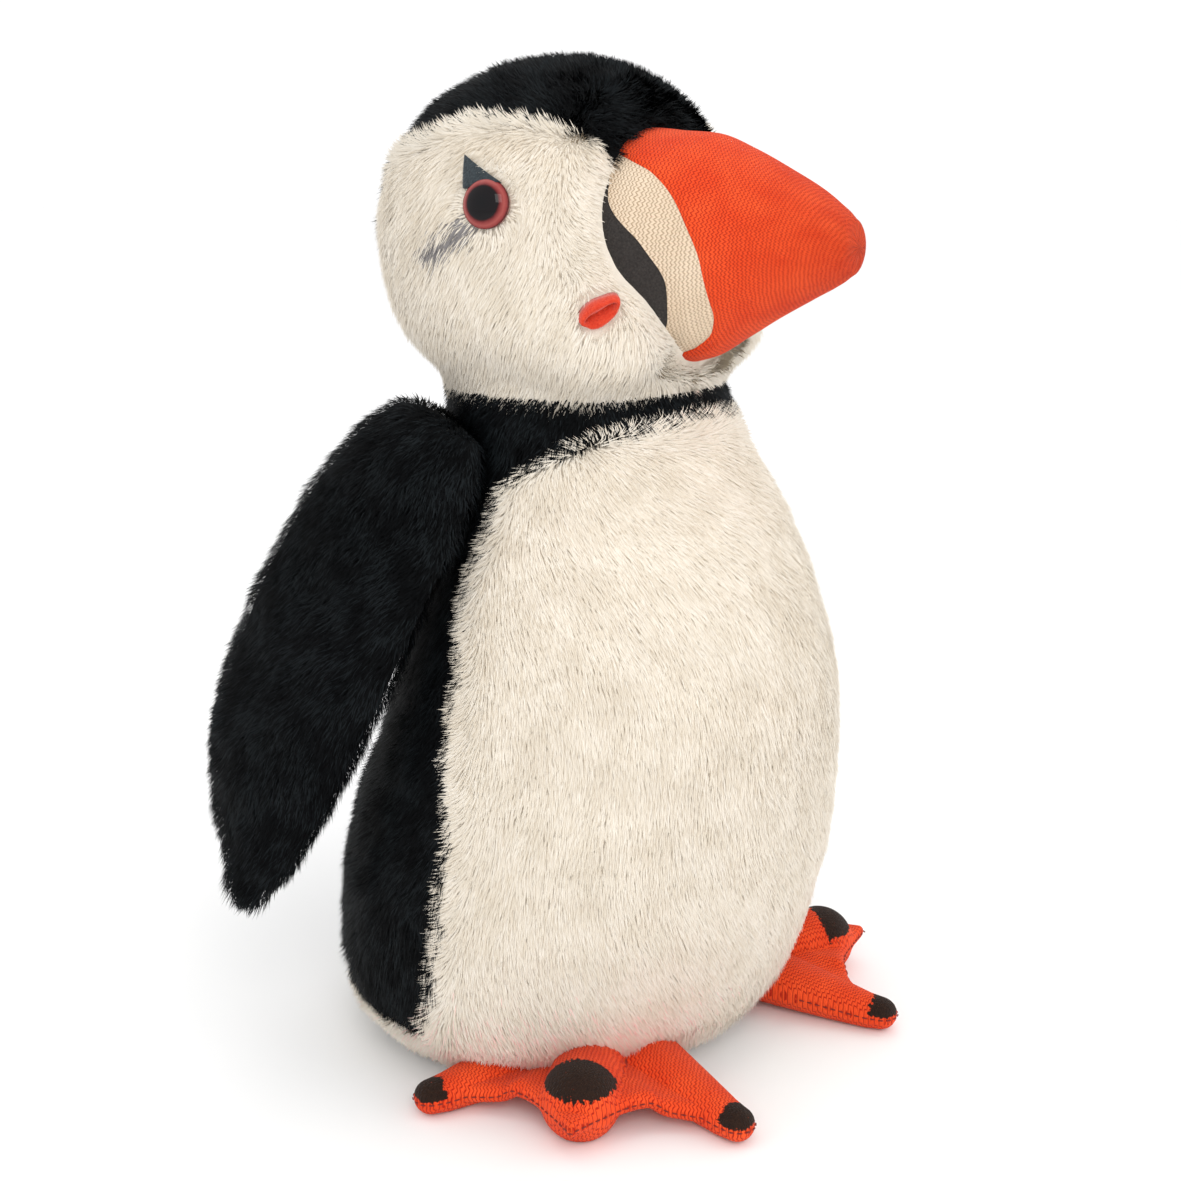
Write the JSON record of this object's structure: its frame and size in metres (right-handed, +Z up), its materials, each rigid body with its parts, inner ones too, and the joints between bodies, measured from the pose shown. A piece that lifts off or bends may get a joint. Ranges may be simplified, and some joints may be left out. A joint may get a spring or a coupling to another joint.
{
  "type": "plush puffin",
  "caption": "Sewn and stuffed puffin toy that stands on a flat base, with a turning head, lifting wings and webbed knit feet.",
  "frame": {"origin": "middle of the flat base, on the surface that the toy stands on", "axes": "+Z up, the bird faces -Y, its right side is -X"},
  "size_m": [0.1768, 0.1505, 0.2696],
  "materials": {
    "black_fur": "short black plush fur",
    "white_fur": "short cream white plush fur",
    "orange_knit": "ribbed knit, orange red",
    "cream_knit": "ribbed knit, cream",
    "dark_knit": "brushed knit, charcoal",
    "slate_felt": "felt, dark slate",
    "orange_felt": "felt, orange red",
    "eye_plastic": "clear dark red rim, glossy black pupil",
    "washer_plastic": "moulded, natural white",
    "stuffing": "loose polyester fibre",
    "pouch_cloth": "plain woven bag of plastic beads"
  },
  "bodies": {
    "torso": {"belly_left": "white_fur", "belly_right": "white_fur", "back_left": "black_fur", "back_right": "black_fur", "base_panel": "white_fur", "torso_filling": "stuffing", "bead_pouch": "pouch_cloth"},
    "neck": {"neck_filling": "stuffing"},
    "head": {"crown_gusset": "black_fur", "cheek_left": "white_fur", "cheek_right": "white_fur", "head_filling": "stuffing", "eye_left": "eye_plastic", "eye_right": "eye_plastic", "eye_washer_left": "washer_plastic", "eye_washer_right": "washer_plastic", "eye_felt_left": "slate_felt", "eye_felt_right": "slate_felt", "gape_rosette_left": "orange_felt", "gape_rosette_right": "orange_felt", "beak_panel_left": "orange_knit", "beak_panel_right": "orange_knit", "beak_band_left": "cream_knit", "beak_band_right": "cream_knit", "beak_base_left": "dark_knit", "beak_base_right": "dark_knit", "beak_filling": "stuffing"},
    "wing_left": {"wing_outer_left": "black_fur", "wing_inner_left": "black_fur", "wing_filling_left": "stuffing"},
    "foot_left": {"foot_upper_left": "orange_knit", "foot_sole_left": "orange_knit", "foot_filling_left": "stuffing"},
    "wing_right": {"wing_outer_right": "black_fur", "wing_inner_right": "black_fur", "wing_filling_right": "stuffing"},
    "foot_right": {"foot_upper_right": "orange_knit", "foot_sole_right": "orange_knit", "foot_filling_right": "stuffing"}
  },
  "joints": [
    {"name": "head_turn", "type": "hinge", "parent": "torso", "child": "neck", "pos_m": [0, 0.006, 0.2246], "axis": [0, 0, 1], "range_deg": [-25, 25], "stiffness_Nm_per_rad": 0.25},
    {"name": "head_nod", "type": "hinge", "parent": "neck", "child": "head", "pos_m": [0, 0.006, 0.2246], "axis": [1, 0, 0], "range_deg": [-12, 12], "stiffness_Nm_per_rad": 0.6},
    {"name": "wing_right_lift", "type": "hinge", "parent": "torso", "child": "wing_right", "pos_m": [-0.043, 0.02, 0.171], "axis": [0.0901, 0.9588, 0.2693], "range_deg": [0, 75], "stiffness_Nm_per_rad": 0.02},
    {"name": "wing_left_lift", "type": "hinge", "parent": "torso", "child": "wing_left", "pos_m": [0.043, 0.02, 0.171], "axis": [0.0901, -0.9588, -0.2693], "range_deg": [0, 75], "stiffness_Nm_per_rad": 0.02},
    {"name": "foot_right_flex", "type": "hinge", "parent": "torso", "child": "foot_right", "pos_m": [-0.03881, -0.02855, 0.003], "axis": [0.4848, -0.8746, 0], "range_deg": [0, 30], "stiffness_Nm_per_rad": 0.05},
    {"name": "foot_left_flex", "type": "hinge", "parent": "torso", "child": "foot_left", "pos_m": [0.03881, -0.02855, 0.003], "axis": [0.4848, 0.8746, 0], "range_deg": [0, 30], "stiffness_Nm_per_rad": 0.05}
  ]
}
